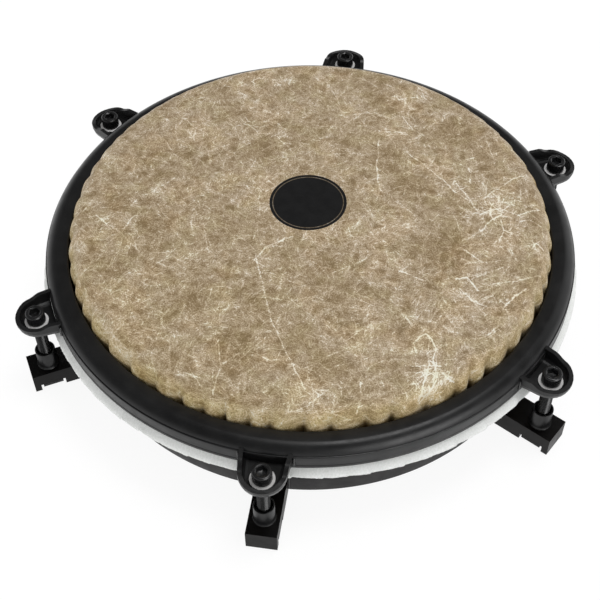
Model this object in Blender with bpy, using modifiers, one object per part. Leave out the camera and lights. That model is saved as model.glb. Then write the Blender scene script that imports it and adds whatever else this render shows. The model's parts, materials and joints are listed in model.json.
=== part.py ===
"""A shallow conga: a full-size tunable conga head on a low steel ring.

Six bolts pull the counterhoop down over the head's flesh hoop, and screw into
threaded sleeves on six foot bars welded round the ring. The object stands on
the floor at z = 0, its centre on the Z axis. Lug 1 faces -Y, the others follow
counter-clockwise as seen from above. Units are metres.

Run with: blender --background --python part.py
"""
import math

import bmesh
import bpy
from mathutils import Matrix

MM = 0.001

# How closely pieces sit, and how finely round pieces are cut
SEAT_GAP = 0.3 * MM
BOLT_CLEARANCE = 0.4 * MM
RING_SIDES = 64
LUG_SIDES = 16
ROUNDING_STEPS = 3

# Steel shell ring with a rolled bearing edge
RING_HEIGHT = 82.2 * MM
RING_TOP_RADIUS = 149.7 * MM
RING_FOOT_RADIUS = 154.1 * MM
RING_WALL = 2.5 * MM
RING_FOOT_HEIGHT = 22.0 * MM
RING_TAPER_HEIGHT = 18.0 * MM
BEARING_EDGE_ROUNDING = 5.0 * MM
BEARING_EDGE_LIP = 4.0 * MM

# Film head: flat playing surface, collar, and the turned-up film round the flesh hoop
FILM_THICKNESS = 0.8 * MM
COLLAR_DEPTH = 36.3 * MM
COLLAR_ROOM = 5.1 * MM
FILM_FOLD_ROUNDING = 3.0 * MM
FILM_EDGE_ROUNDING = 1.0 * MM
FILM_BULGE = 3.3 * MM
FILM_TAIL_INSET = 0.7 * MM
FILM_TAIL_HEIGHT = 5.5 * MM

# Flesh hoop inside the fold of the film
FLESH_HOOP_WIDTH = 10.6 * MM
FLESH_HOOP_HEIGHT = 9.0 * MM
FLESH_HOOP_ROUNDING = 1.2 * MM

# Counterhoop: inner leg, rounded top, outer band
RIM_WALL = 2.4 * MM
RIM_HEIGHT = 11.7 * MM
RIM_TOP_RISE = 0.5 * MM
RIM_LIP_ROUNDING = 1.2 * MM
RIM_SHOULDER_ROUNDING = 8.7 * MM
RIM_SHOULDER_INSET = 8.5 * MM
RIM_TAIL_ROOM = 2.1 * MM
RIM_BAND_DROP = 4.1 * MM
RIM_BAND_HEIGHT = 11.2 * MM
RIM_BAND_STEP = 0.4 * MM

# Lugs round the counterhoop
LUG_COUNT = 6
LUG_FIRST_ANGLE = math.radians(-90)
BOLT_STANDOFF = 11.4 * MM

# Ears: pressed dishes, open towards the rim; their flange is low at the tip and high at the rim
EAR_TIP_RADIUS = 14.3 * MM
EAR_ARC_INSET = 1.8 * MM
EAR_FLARE = 0.09
EAR_PLATE = 2.4 * MM
EAR_RISE = 1.7 * MM
EAR_BOTTOM_ROUNDING = 5.4 * MM
EAR_POCKET_ROUNDING = 3.0 * MM
EAR_FLANGE_WALL = 2.6 * MM
EAR_TIP_HEIGHT = 4.7 * MM
EAR_SIDE_HEIGHT = 6.2 * MM
EAR_TAB_HEIGHT = 8.8 * MM
EAR_TIP_END = 12.5 * MM
EAR_SIDE_START = 3.0 * MM
EAR_SIDE_END = 1.0 * MM
EAR_TAB_START = -6.5 * MM
EAR_SLOPE_POINTS = 6
EAR_ARC_POINTS = 14

# Tension bolt: 5/16-inch socket-head cap screw
BOLT_DIAMETER = 7.94 * MM
BOLT_HEAD_DIAMETER = 11.9 * MM
BOLT_HEAD_HEIGHT = 7.7 * MM
BOLT_HEAD_CHAMFER = 0.8 * MM
BOLT_TIP_CHAMFER = 1.0 * MM
BOLT_TIP_HEIGHT = 9.0 * MM
SOCKET_FLATS = 6.35 * MM
SOCKET_DEPTH = 4.0 * MM

# Washer between the bolt head and the ear
NYLON_WASHER_DIAMETER = 14.9 * MM
NYLON_WASHER_THICKNESS = 0.6 * MM

# Threaded sleeve that stands on the foot bar
SLEEVE_HEIGHT = 13.9 * MM
SLEEVE_DIAMETER = 12.8 * MM
SLEEVE_MOUTH_DIAMETER = 10.6 * MM
SLEEVE_MOUTH_DEPTH = 5.0 * MM
SLEEVE_FOOT_DIAMETER = 14.4 * MM
SLEEVE_FOOT_HEIGHT = 1.0 * MM

# Foot bar with a recess below for a stand's arm, and the pad in it
BAR_WIDTH = 19.0 * MM
BAR_HEIGHT = 14.6 * MM
BAR_OVERHANG = 12.8 * MM
RECESS_INNER = 7.4 * MM
RECESS_OUTER = 8.6 * MM
RECESS_DEPTH = 5.1 * MM
PAD_THICKNESS = 2.1 * MM
PAD_END_GAP = 1.5 * MM

# Places worked out from the sizes above
HEAD_TOP = RING_HEIGHT + SEAT_GAP + FILM_THICKNESS
COLLAR_RADIUS = RING_TOP_RADIUS + SEAT_GAP + FILM_THICKNESS
FILM_FOLD_Z = HEAD_TOP - COLLAR_DEPTH
FLESH_HOOP_RADIUS = COLLAR_RADIUS + COLLAR_ROOM
FLESH_HOOP_OUTER = FLESH_HOOP_RADIUS + FLESH_HOOP_WIDTH
FLESH_HOOP_Z = FILM_FOLD_Z + SEAT_GAP
RIM_LEG_Z = FLESH_HOOP_Z + FLESH_HOOP_HEIGHT + SEAT_GAP
RIM_TOP_Z = RIM_LEG_Z + RIM_HEIGHT
RIM_BAND_Z = RIM_LEG_Z - RIM_BAND_DROP
RIM_BAND_INNER = FLESH_HOOP_OUTER + RIM_TAIL_ROOM
RIM_OUTER = RIM_BAND_INNER + RIM_WALL
BOLT_CIRCLE_RADIUS = RIM_OUTER + BOLT_STANDOFF
EAR_Z = RIM_BAND_Z + EAR_RISE
EAR_TOP_Z = EAR_Z + EAR_PLATE
NYLON_Z = EAR_TOP_Z + SEAT_GAP
HEAD_SEAT_Z = NYLON_Z + NYLON_WASHER_THICKNESS + SEAT_GAP
BOLT_TOP_Z = HEAD_SEAT_Z + BOLT_HEAD_HEIGHT
SLEEVE_Z = BAR_HEIGHT + SEAT_GAP
BAR_INNER_END = BOLT_CIRCLE_RADIUS - RING_FOOT_RADIUS - SEAT_GAP
HOLE_RADIUS = BOLT_DIAMETER / 2 + BOLT_CLEARANCE
EAR_BACK = -(BOLT_STANDOFF + RIM_SHOULDER_ROUNDING)
EAR_SIZE = 2 * EAR_TIP_RADIUS


def clear_scene():
    for obj in list(bpy.data.objects):
        bpy.data.objects.remove(obj)


def new_collection(name):
    group = bpy.data.collections.new(name)
    bpy.context.scene.collection.children.link(group)
    return group


def new_material(name, color, roughness, metallic):
    material = bpy.data.materials.new(name)
    material.use_nodes = True
    shader = material.node_tree.nodes["Principled BSDF"]
    shader.inputs["Base Color"].default_value = (*color, 1.0)
    shader.inputs["Roughness"].default_value = roughness
    shader.inputs["Metallic"].default_value = metallic
    return material


clear_scene()
PARTS = new_collection("conga")
CUTTERS = new_collection("conga_cutters")

BLACK_STEEL = new_material("black_steel", (0.018, 0.018, 0.019), 0.42, 0.0)
GREY_STEEL = new_material("grey_steel", (0.045, 0.042, 0.044), 0.5, 0.0)
FILM = new_material("film", (0.46, 0.37, 0.26), 0.45, 0.0)
ALUMINIUM = new_material("aluminium", (0.75, 0.75, 0.76), 0.35, 1.0)
NYLON = new_material("nylon", (0.86, 0.85, 0.84), 0.4, 0.0)
RUBBER = new_material("rubber", (0.02, 0.02, 0.02), 0.75, 0.0)


def add_object(name, mesh, group):
    obj = bpy.data.objects.new(name, mesh)
    group.objects.link(obj)
    return obj


def as_cutter(obj):
    """Move a guide out of the model: it is never rendered or built."""
    for group in list(obj.users_collection):
        group.objects.unlink(obj)
    CUTTERS.objects.link(obj)
    obj.hide_render = True
    obj.display_type = "WIRE"
    return obj


def bake(obj):
    """Replace an object's modifiers, or a curve, with the mesh they make."""
    evaluated = obj.evaluated_get(bpy.context.evaluated_depsgraph_get())
    mesh = bpy.data.meshes.new_from_object(evaluated)
    build = bmesh.new()
    build.from_mesh(mesh)
    bmesh.ops.remove_doubles(build, verts=build.verts, dist=0.001 * MM)
    build.to_mesh(mesh)
    build.free()
    baked = bpy.data.objects.new(obj.name, mesh)
    for group in obj.users_collection:
        group.objects.link(baked)
    baked.matrix_world = obj.matrix_world
    name = obj.name
    bpy.data.objects.remove(obj)
    baked.name = name
    mesh.name = name
    return baked


def arc(centre, radius, start, end, steps=ROUNDING_STEPS):
    """Points on an arc in the profile plane, both ends included, angles in degrees."""
    points = []
    for step in range(steps + 1):
        angle = math.radians(start + (end - start) * step / steps)
        points.append((centre[0] + radius * math.cos(angle), centre[1] + radius * math.sin(angle)))
    return points


def turned(name, profile, sides, closed):
    """Turn a profile of (radius, height) points about the Z axis."""
    mesh = bpy.data.meshes.new(name)
    count = len(profile)
    edges = [(i, i + 1) for i in range(count - 1)]
    if closed:
        edges.append((count - 1, 0))
    mesh.from_pydata([(radius, 0.0, height) for radius, height in profile], edges, [])
    obj = add_object(name, mesh, PARTS)
    screw = obj.modifiers.new("turn", "SCREW")
    screw.axis = "Z"
    screw.steps = sides
    screw.render_steps = sides
    screw.use_merge_vertices = True
    screw.merge_threshold = 0.001 * MM
    return obj


def prism(name, outline, low, high):
    """A flat outline in the XY plane, raised from one height to another."""
    curve = bpy.data.curves.new(name, "CURVE")
    curve.dimensions = "2D"
    curve.fill_mode = "BOTH"
    curve.extrude = (high - low) / 2
    spline = curve.splines.new("POLY")
    spline.points.add(len(outline) - 1)
    for point, (x, y) in zip(spline.points, outline):
        point.co = (x, y, 0.0, 1.0)
    spline.use_cyclic_u = True
    obj = bpy.data.objects.new(name, curve)
    PARTS.objects.link(obj)
    solid = bake(obj)
    solid.data.transform(Matrix.Translation((0.0, 0.0, (high + low) / 2)))
    return solid


def loft(name, layers):
    """A closed solid through flat outlines of equal length, given upwards as (outline, height)."""
    mesh = bpy.data.meshes.new(name)
    build = bmesh.new()
    rings = []
    for outline, height in layers:
        rings.append([build.verts.new((x, y, height)) for x, y in outline])
    for lower, upper in zip(rings, rings[1:]):
        for index in range(len(lower)):
            after = (index + 1) % len(lower)
            build.faces.new((lower[index], lower[after], upper[after], upper[index]))
    build.faces.new(rings[0][::-1])
    build.faces.new(rings[-1])
    build.to_mesh(mesh)
    build.free()
    return add_object(name, mesh, PARTS)


def box(name, corner_low, corner_high):
    mesh = bpy.data.meshes.new(name)
    build = bmesh.new()
    bmesh.ops.create_cube(build, size=1.0)
    size = [high - low for low, high in zip(corner_low, corner_high)]
    middle = [(high + low) / 2 for low, high in zip(corner_low, corner_high)]
    bmesh.ops.scale(build, vec=size, verts=build.verts)
    bmesh.ops.translate(build, vec=middle, verts=build.verts)
    build.to_mesh(mesh)
    build.free()
    return add_object(name, mesh, PARTS)


def cylinder(name, radius, low, high, sides):
    mesh = bpy.data.meshes.new(name)
    build = bmesh.new()
    bmesh.ops.create_cone(
        build,
        cap_ends=True,
        segments=sides,
        radius1=radius,
        radius2=radius,
        depth=high - low,
        matrix=Matrix.Translation((0.0, 0.0, (high + low) / 2)),
    )
    build.to_mesh(mesh)
    build.free()
    return add_object(name, mesh, PARTS)


def cut(obj, cutter):
    cutter = as_cutter(cutter)
    boolean = obj.modifiers.new("cut", "BOOLEAN")
    boolean.operation = "DIFFERENCE"
    boolean.solver = "EXACT"
    boolean.object = cutter
    return obj


def finish(obj, material):
    """Bake, colour and shade a piece."""
    obj = bake(obj)
    obj.data.materials.clear()
    obj.data.materials.append(material)
    obj.data.shade_smooth()
    obj.data.set_sharp_from_angle(angle=math.radians(32))
    return obj


def make_shell_ring():
    """One sheet: foot band, taper, wall, and the edge rolled over inwards."""
    taper_top = RING_FOOT_HEIGHT + RING_TAPER_HEIGHT
    roll_z = RING_HEIGHT - BEARING_EDGE_ROUNDING
    roll_radius = RING_TOP_RADIUS - BEARING_EDGE_ROUNDING
    inner_rounding = BEARING_EDGE_ROUNDING - RING_WALL
    lip_outer = roll_radius - BEARING_EDGE_ROUNDING
    lip_z = roll_z - BEARING_EDGE_LIP
    profile = [(lip_outer, lip_z)]
    profile += arc((roll_radius, roll_z), BEARING_EDGE_ROUNDING, 180, 0, 2 * ROUNDING_STEPS)
    profile += [
        (RING_TOP_RADIUS, taper_top),
        (RING_FOOT_RADIUS, RING_FOOT_HEIGHT),
        (RING_FOOT_RADIUS, 0.0),
        (RING_FOOT_RADIUS - RING_WALL, 0.0),
        (RING_FOOT_RADIUS - RING_WALL, RING_FOOT_HEIGHT),
        (RING_TOP_RADIUS - RING_WALL, taper_top),
    ]
    profile += arc((roll_radius, roll_z), inner_rounding, 0, 180)
    profile.append((lip_outer + RING_WALL, lip_z))
    return finish(turned("shell_ring", profile, RING_SIDES, True), GREY_STEEL)


def make_head_film():
    """The film's hoop side is turned, and its thickness is added on the far side."""
    rounding = BEARING_EDGE_ROUNDING + SEAT_GAP + FILM_THICKNESS
    bulge_radius = RIM_OUTER + FILM_BULGE - FILM_THICKNESS
    tail_radius = RIM_BAND_INNER - FILM_TAIL_INSET - FILM_THICKNESS
    fold = FILM_FOLD_ROUNDING
    edge = FILM_EDGE_ROUNDING
    shoulder_z = RIM_BAND_Z - 2 * SEAT_GAP - FILM_THICKNESS
    profile = [(0.0, HEAD_TOP)]
    profile += arc((COLLAR_RADIUS - rounding, HEAD_TOP - rounding), rounding, 90, 0)
    profile += arc((COLLAR_RADIUS + fold, FILM_FOLD_Z + fold), fold, 180, 270, 2)
    profile += arc((bulge_radius - edge, FILM_FOLD_Z + edge), edge, 270, 360, 2)
    profile += [
        (tail_radius, shoulder_z + FILM_THICKNESS),
        (tail_radius, RIM_BAND_Z + FILM_TAIL_HEIGHT),
    ]
    film = turned("head_film", profile, RING_SIDES, False)
    solidify = film.modifiers.new("thickness", "SOLIDIFY")
    solidify.thickness = FILM_THICKNESS
    solidify.offset = -1.0
    solidify.use_even_offset = True
    return finish(film, FILM)


def make_flesh_hoop():
    low = FLESH_HOOP_Z
    high = FLESH_HOOP_Z + FLESH_HOOP_HEIGHT
    inner = FLESH_HOOP_RADIUS
    outer = FLESH_HOOP_OUTER
    corner = FLESH_HOOP_ROUNDING
    profile = [
        (outer - corner, high),
        (outer, high - corner),
        (outer, low + corner),
        (outer - corner, low),
        (inner + corner, low),
        (inner, low + corner),
        (inner, high - corner),
        (inner + corner, high),
    ]
    return finish(turned("flesh_hoop", profile, RING_SIDES, True), ALUMINIUM)


def rim_outer_profile(grow=0.0):
    """Top and outer side of the counterhoop, from the inner lip down to the band's foot."""
    shoulder = RIM_SHOULDER_ROUNDING
    centre = (RIM_OUTER - RIM_SHOULDER_INSET, RIM_TOP_Z + RIM_TOP_RISE - shoulder)
    band_top = RIM_BAND_Z + RIM_BAND_HEIGHT
    lip = RIM_LIP_ROUNDING + grow
    lip_centre = (FLESH_HOOP_RADIUS + RIM_LIP_ROUNDING, RIM_TOP_Z - RIM_LIP_ROUNDING)
    lowest = math.degrees(math.asin((band_top - centre[1]) / shoulder))
    profile = arc(lip_centre, lip, 180, 90, 2)
    profile += arc(centre, shoulder + grow, 84, lowest, 4)
    profile += [
        (RIM_OUTER + grow, band_top - RIM_BAND_STEP),
        (RIM_OUTER + grow, RIM_BAND_Z - grow),
    ]
    return profile


def make_counterhoop():
    """A pressed hoop: the inner leg stands on the flesh hoop, the outer band hides it."""
    shoulder = RIM_SHOULDER_ROUNDING
    centre = (RIM_OUTER - RIM_SHOULDER_INSET, RIM_TOP_Z + RIM_TOP_RISE - shoulder)
    leg_outer = FLESH_HOOP_RADIUS + RIM_WALL
    profile = [(FLESH_HOOP_RADIUS, RIM_LEG_Z)]
    profile += rim_outer_profile()
    profile += [(RIM_BAND_INNER, RIM_BAND_Z)]
    profile += arc(centre, shoulder - RIM_WALL, 0, 84)
    profile += [(leg_outer, RIM_TOP_Z - RIM_WALL), (leg_outer, RIM_LEG_Z)]
    return finish(turned("counterhoop", profile, RING_SIDES, True), BLACK_STEEL)


def ear_outline(inset, back):
    """Outline of the ear: a round tip and sides that widen towards the rim, anticlockwise."""
    radius = EAR_TIP_RADIUS - inset
    flare = math.atan(EAR_FLARE)
    outline = []
    for step in range(EAR_ARC_POINTS + 1):
        angle = (math.pi / 2 - flare) * (2 * step / EAR_ARC_POINTS - 1)
        outline.append((radius * math.cos(angle) - EAR_ARC_INSET, radius * math.sin(angle)))
    side_x, side_y = outline[-1]
    back_y = side_y + (side_x - back) * EAR_FLARE
    return outline + [(back, back_y), (back, -back_y)]


def ear_dish(name, inset, rounding, floor, ceiling, back):
    """A dish shape: flat floor, rounded bottom edge, upright sides."""
    layers = []
    for step in range(ROUNDING_STEPS + 1):
        turn = math.pi / 2 * step / ROUNDING_STEPS
        outline = ear_outline(inset + rounding * (1 - math.sin(turn)), back)
        layers.append((outline, floor + rounding * (1 - math.cos(turn))))
    layers.append((ear_outline(inset, back), ceiling))
    return loft(name, layers)


def eased(start, end):
    """Points of an S-shaped step from one (distance, height) to another, both ends included."""
    points = []
    for step in range(EAR_SLOPE_POINTS + 1):
        share = step / EAR_SLOPE_POINTS
        ease = (1 - math.cos(math.pi * share)) / 2
        points.append((start[0] + (end[0] - start[0]) * share, start[1] + (end[1] - start[1]) * ease))
    return points


def ear_slope_profile():
    """What lies above the flange, seen from the side, as (distance outwards, height)."""
    tab = EAR_TOP_Z + EAR_TAB_HEIGHT
    side = EAR_TOP_Z + EAR_SIDE_HEIGHT
    tip = EAR_TOP_Z + EAR_TIP_HEIGHT
    ceiling = tab + EAR_SIZE
    profile = [(-EAR_SIZE, tab)]
    profile += eased((EAR_TAB_START, tab), (EAR_SIDE_END, side))
    profile += eased((EAR_SIDE_START, side), (EAR_TIP_END, tip))
    profile += [(EAR_SIZE, tip), (EAR_SIZE, ceiling), (-EAR_SIZE, ceiling)]
    return profile


def make_ear():
    """Pressed ear in the lug's own frame: bolt axis on Z, +X away from the drum."""
    ceiling = EAR_TOP_Z + EAR_TAB_HEIGHT + MM
    ear = ear_dish("ear", 0.0, EAR_BOTTOM_ROUNDING, EAR_Z, ceiling, EAR_BACK)
    pocket = ear_dish(
        "ear_pocket",
        EAR_FLANGE_WALL,
        EAR_POCKET_ROUNDING,
        EAR_TOP_Z,
        ceiling + EAR_SIZE,
        EAR_BACK - MM,
    )
    slope = prism("ear_slope", ear_slope_profile(), -EAR_SIZE, EAR_SIZE)
    slope.data.transform(Matrix.Rotation(math.radians(90), 4, "X"))
    hole = cylinder("ear_hole", HOLE_RADIUS, EAR_Z - MM, EAR_TOP_Z + MM, LUG_SIDES)
    seat_profile = rim_outer_profile(SEAT_GAP) + [(FLESH_HOOP_RADIUS, RIM_BAND_Z - SEAT_GAP)]
    seat = turned("ear_seat", seat_profile, RING_SIDES, True)
    seat.location.x = -BOLT_CIRCLE_RADIUS
    for cutter in (pocket, slope, hole, seat):
        cut(ear, cutter)
    return finish(ear, BLACK_STEEL)


def make_bolt():
    head = BOLT_HEAD_DIAMETER / 2
    shank = BOLT_DIAMETER / 2
    profile = [
        (0.0, BOLT_TOP_Z),
        (head - BOLT_HEAD_CHAMFER, BOLT_TOP_Z),
        (head, BOLT_TOP_Z - BOLT_HEAD_CHAMFER),
        (head, HEAD_SEAT_Z),
        (shank, HEAD_SEAT_Z),
        (shank, BOLT_TIP_HEIGHT + BOLT_TIP_CHAMFER),
        (shank - BOLT_TIP_CHAMFER, BOLT_TIP_HEIGHT),
        (0.0, BOLT_TIP_HEIGHT),
    ]
    bolt = turned("tension_bolt", profile, LUG_SIDES, False)
    corner_radius = SOCKET_FLATS / 2 / math.cos(math.pi / 6)
    floor = BOLT_TOP_Z - SOCKET_DEPTH
    cut(bolt, cylinder("bolt_socket", corner_radius, floor, BOLT_TOP_Z + MM, 6))
    return finish(bolt, BLACK_STEEL)


def make_washer():
    radius = NYLON_WASHER_DIAMETER / 2
    high = NYLON_Z + NYLON_WASHER_THICKNESS
    profile = [(radius, high), (radius, NYLON_Z), (HOLE_RADIUS, NYLON_Z), (HOLE_RADIUS, high)]
    return finish(turned("nylon_washer", profile, LUG_SIDES, True), NYLON)


def make_sleeve():
    top = SLEEVE_Z + SLEEVE_HEIGHT
    mouth = SLEEVE_MOUTH_DIAMETER / 2
    profile = [
        (SLEEVE_DIAMETER / 2, top),
        (SLEEVE_DIAMETER / 2, SLEEVE_Z + SLEEVE_FOOT_HEIGHT),
        (SLEEVE_FOOT_DIAMETER / 2, SLEEVE_Z),
        (HOLE_RADIUS, SLEEVE_Z),
        (HOLE_RADIUS, top - SLEEVE_MOUTH_DEPTH),
        (mouth, top - SLEEVE_MOUTH_DEPTH),
        (mouth, top),
    ]
    return finish(turned("lug_sleeve", profile, LUG_SIDES, True), BLACK_STEEL)


def make_bar():
    half = BAR_WIDTH / 2
    bar = box("foot_bar", (-BAR_INNER_END, -half, 0.0), (BAR_OVERHANG, half, BAR_HEIGHT))
    recess = box("bar_recess", (-RECESS_INNER, -BAR_WIDTH, -MM), (RECESS_OUTER, BAR_WIDTH, RECESS_DEPTH))
    cut(bar, recess)
    cut(bar, cylinder("bar_hole", HOLE_RADIUS, RECESS_DEPTH - MM, BAR_HEIGHT + MM, LUG_SIDES))
    wall = turned(
        "bar_seat",
        [
            (RING_FOOT_RADIUS + SEAT_GAP, BAR_HEIGHT + MM),
            (RING_FOOT_RADIUS + SEAT_GAP, -MM),
            (RING_FOOT_RADIUS - RING_WALL, -MM),
            (RING_FOOT_RADIUS - RING_WALL, BAR_HEIGHT + MM),
        ],
        RING_SIDES,
        True,
    )
    wall.location.x = -BOLT_CIRCLE_RADIUS
    cut(bar, wall)
    return finish(bar, BLACK_STEEL)


def make_pad():
    half = BAR_WIDTH / 2
    top = RECESS_DEPTH - SEAT_GAP
    low = (-RECESS_INNER + PAD_END_GAP, -half, top - PAD_THICKNESS)
    high = (RECESS_OUTER - PAD_END_GAP, half, top)
    return finish(box("rubber_pad", low, high), RUBBER)


def lug_axis(number):
    """An empty on each bolt's axis, its X pointing away from the drum's centre."""
    angle = LUG_FIRST_ANGLE + 2 * math.pi * (number - 1) / LUG_COUNT
    empty = bpy.data.objects.new(f"lug_axis_{number}", None)
    PARTS.objects.link(empty)
    empty.location = (BOLT_CIRCLE_RADIUS * math.cos(angle), BOLT_CIRCLE_RADIUS * math.sin(angle), 0.0)
    empty.rotation_euler.z = angle
    return empty


def make_lugs():
    """Model each lug piece once, and hang a copy of it on every lug's axis."""
    patterns = [
        make_ear(),
        make_bolt(),
        make_washer(),
        make_sleeve(),
        make_bar(),
        make_pad(),
    ]
    for number in range(1, LUG_COUNT + 1):
        axis = lug_axis(number)
        for pattern in patterns:
            copy = add_object(f"{pattern.name}_{number}", pattern.data, PARTS)
            copy.parent = axis
    for pattern in patterns:
        bpy.data.objects.remove(pattern)


make_shell_ring()
make_head_film()
make_flesh_hoop()
make_counterhoop()
make_lugs()
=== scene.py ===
"""The looks of the shallow conga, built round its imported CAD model, in metres."""

import json
import math
import random
from bisect import bisect_right

import bmesh
import bpy
from mathutils import Matrix, Vector, noise


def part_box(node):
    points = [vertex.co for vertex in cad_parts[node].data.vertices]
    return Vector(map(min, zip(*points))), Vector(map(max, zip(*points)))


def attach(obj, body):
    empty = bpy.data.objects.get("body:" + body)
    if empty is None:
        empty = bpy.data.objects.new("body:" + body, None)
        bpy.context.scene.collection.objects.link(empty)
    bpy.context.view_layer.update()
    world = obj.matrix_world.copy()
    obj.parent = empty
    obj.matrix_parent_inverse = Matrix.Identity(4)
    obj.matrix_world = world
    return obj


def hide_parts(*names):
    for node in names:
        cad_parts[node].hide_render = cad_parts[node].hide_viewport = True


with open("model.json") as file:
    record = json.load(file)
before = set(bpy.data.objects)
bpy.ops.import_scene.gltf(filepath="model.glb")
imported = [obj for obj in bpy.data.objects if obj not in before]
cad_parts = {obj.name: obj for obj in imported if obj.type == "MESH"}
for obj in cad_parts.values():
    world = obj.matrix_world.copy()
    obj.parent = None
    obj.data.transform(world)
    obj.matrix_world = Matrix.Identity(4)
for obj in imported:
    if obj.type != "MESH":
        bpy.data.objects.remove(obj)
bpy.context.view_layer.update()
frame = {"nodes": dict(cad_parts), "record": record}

MM = 0.001
SEED = 11

# Sizes read from the frame
HEAD_LOW, HEAD_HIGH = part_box("head_film")
RIM_LOW, RIM_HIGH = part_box("counterhoop")
RING_LOW, RING_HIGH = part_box("shell_ring")
HOOP_LOW, HOOP_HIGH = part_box("flesh_hoop")
BOLT_LOW, BOLT_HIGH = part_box("tension_bolt_1")
WASHER_LOW, WASHER_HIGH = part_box("nylon_washer_1")
SLEEVE_LOW, SLEEVE_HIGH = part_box("lug_sleeve_1")
BAR_LOW, BAR_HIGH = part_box("foot_bar_1")
HEAD_TOP = HEAD_HIGH.z
RIM_OUTER = RIM_HIGH.x
BAND_FOOT = RIM_LOW.z
LUG_COUNT = 6

# Steel ring, as in the CAD
RING_WALL = 2.5 * MM
RING_TOP_RADIUS = 149.7 * MM
RING_FOOT_HEIGHT = 22.0 * MM
RING_TAPER_TOP = 40.0 * MM
RING_ROLL = 5.0 * MM
RING_LIP = 4.0 * MM
RING_EDGE = 0.7 * MM

# Film head: thickness, crown, pleats and skirt
FILM_THICKNESS = 0.4 * MM
COLLAR_RADIUS = 150.8 * MM
CROWN_ROUNDING = 6.1 * MM
PLEAT_COUNT = 58
PLEAT_PROUD = 4.6 * MM
PLEAT_DEPTH = 4.0 * MM
PLEAT_START = 60.0
PLEAT_FULL_DROP = 9.5 * MM
COLLAR_FOOT = HEAD_LOW.z + 3.5 * MM
SKIRT_EDGE_RADIUS = HEAD_HIGH.x - 0.3 * MM
SKIRT_RAG = 2.2 * MM
SKIRT_CREASE = 0.35 * MM
TAIL_RADIUS = RIM_OUTER - 3.2 * MM
TAIL_TOP = BAND_FOOT + 5.4 * MM
HEAD_SEGMENTS = 1080

# Dot on the playing surface
DOT_RADIUS = 25.0 * MM
DOT_PLACE = (-2.5 * MM, 9.5 * MM)
DOT_RING = 2.2 * MM
DOT_RING_WIDTH = 0.5 * MM

# Rim: a pressed hoop with a round shoulder, a groove and a hemmed band
RIM_WALL = 2.4 * MM
RIM_INNER = HOOP_HIGH.x - 10.6 * MM
RIM_LIP = 1.2 * MM
RIM_LIP_TOP = RIM_HIGH.z - 0.5 * MM
RIM_LEG_FOOT = HOOP_HIGH.z + 0.3 * MM
SHOULDER = 8.7 * MM
SHOULDER_INSET = 8.5 * MM
BAND_TOP = BAND_FOOT + 10.8 * MM
GROOVE_DEPTH = 1.1 * MM
GROOVE_WIDTH = 0.9 * MM
BAND_EDGE = 0.45 * MM
HEM_HEIGHT = 2.9 * MM
HEM_DEPTH = 0.3 * MM
RIM_SEGMENTS = 512

# Cap screw and its thread
SCREW_HEAD_HEIGHT = 7.7 * MM
SCREW_CHAMFER = 0.75 * MM
SCREW_SOCKET = 6.35 * MM
SCREW_SOCKET_DEPTH = 4.0 * MM
SCREW_SOCKET_CHAMFER = 0.45 * MM
SCREW_SHANK = 7.94 * MM
SCREW_KNURL = 0.12 * MM
SCREW_TEETH = 40
THREAD_PITCH = 1.411 * MM
THREAD_DEPTH = 0.7 * MM
THREAD_ROWS_PER_TURN = 6
HOLE_RADIUS = 4.37 * MM

# Sleeve
SLEEVE_MOUTH = 5.3 * MM
SLEEVE_MOUTH_DEPTH = 5.0 * MM
SLEEVE_RADIUS = 6.4 * MM
SLEEVE_FOOT_HEIGHT = 1.0 * MM
SLEEVE_EDGE = 0.35 * MM

# Welds
WELD_RADIUS = 0.95 * MM
WELD_STEP = 1.5 * MM

# Camera, worked out from the bolt heads and the rim's edges
CAMERA_AZIMUTH = math.radians(9.14)
CAMERA_ELEVATION = math.radians(50.21)
CAMERA_ROLL = math.radians(-0.60)
CAMERA_LENS = 70.21
CAMERA_DISTANCE = 0.76185
CAMERA_RIGHT = -0.006384
CAMERA_UP = -0.044287

# Soft boxes that only gloss sees, as (direction, cosine at the edge, strength)
SOFT_BOXES = (
    ((0.67, -0.60, 0.45), 0.90, 4.6),
    ((0.61, 0.63, 0.47), 0.90, 0.9),
)

# Film tones from the darkest to the whitest, as (place, colour)
FILM_TONES = (
    (0.00, (0.21, 0.144, 0.071)),
    (0.31, (0.292, 0.210, 0.118)),
    (0.50, (0.418, 0.325, 0.216)),
    (0.78, (0.591, 0.483, 0.354)),
    (0.89, (0.70, 0.61, 0.49)),
    (1.00, (0.86, 0.84, 0.76)),
)

# Single fibres, white fibres, pale patches and dark patches in the film, in millimetres from the centre
LONG_FIBRES = (
    ((56, 66), (75, 49), (90, 33), (101, 25)),
    ((36, 76), (38, 50), (42, 26)),
    ((50, 100), (58, 88), (66, 83)),
    ((-28, -40), (-12, -85), (2, -112), (18, -136)),
    ((-38, -110), (-33, -128), (-34, -150)),
    ((-33, -126), (-24, -117)),
    ((48, -128), (50, -152)),
    ((-135, -22), (-115, -35), (-100, -48)),
    ((-28, -45), (-22, -32), (-8, -22)),
    ((-32, 68), (-18, 52)),
    ((92, 59), (98, 55), (100, 42)),
    ((94, 63), (101, 66)),
    ((107, 28), (116, 37), (128, 50), (136, 55)),
    ((90, 42), (96, 34), (104, 20)),
    ((133, 12), (140, 14), (146, 9), (150, 2)),
    ((132, 17), (138, 21), (146, 24)),
    ((121, 10), (123, 2), (121, -8)),
    ((141, -10), (144, -6), (150, -10)),
    ((100, -18), (106, -22), (112, -27)),
    ((106, -41), (112, -36), (124, -29)),
    ((110, -46), (120, -42), (132, -39), (150, -31)),
    ((62, -41), (78, -47)),
    ((94, -84), (101, -84), (107, -89)),
    ((118, -83), (124, -74)),
)
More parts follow.
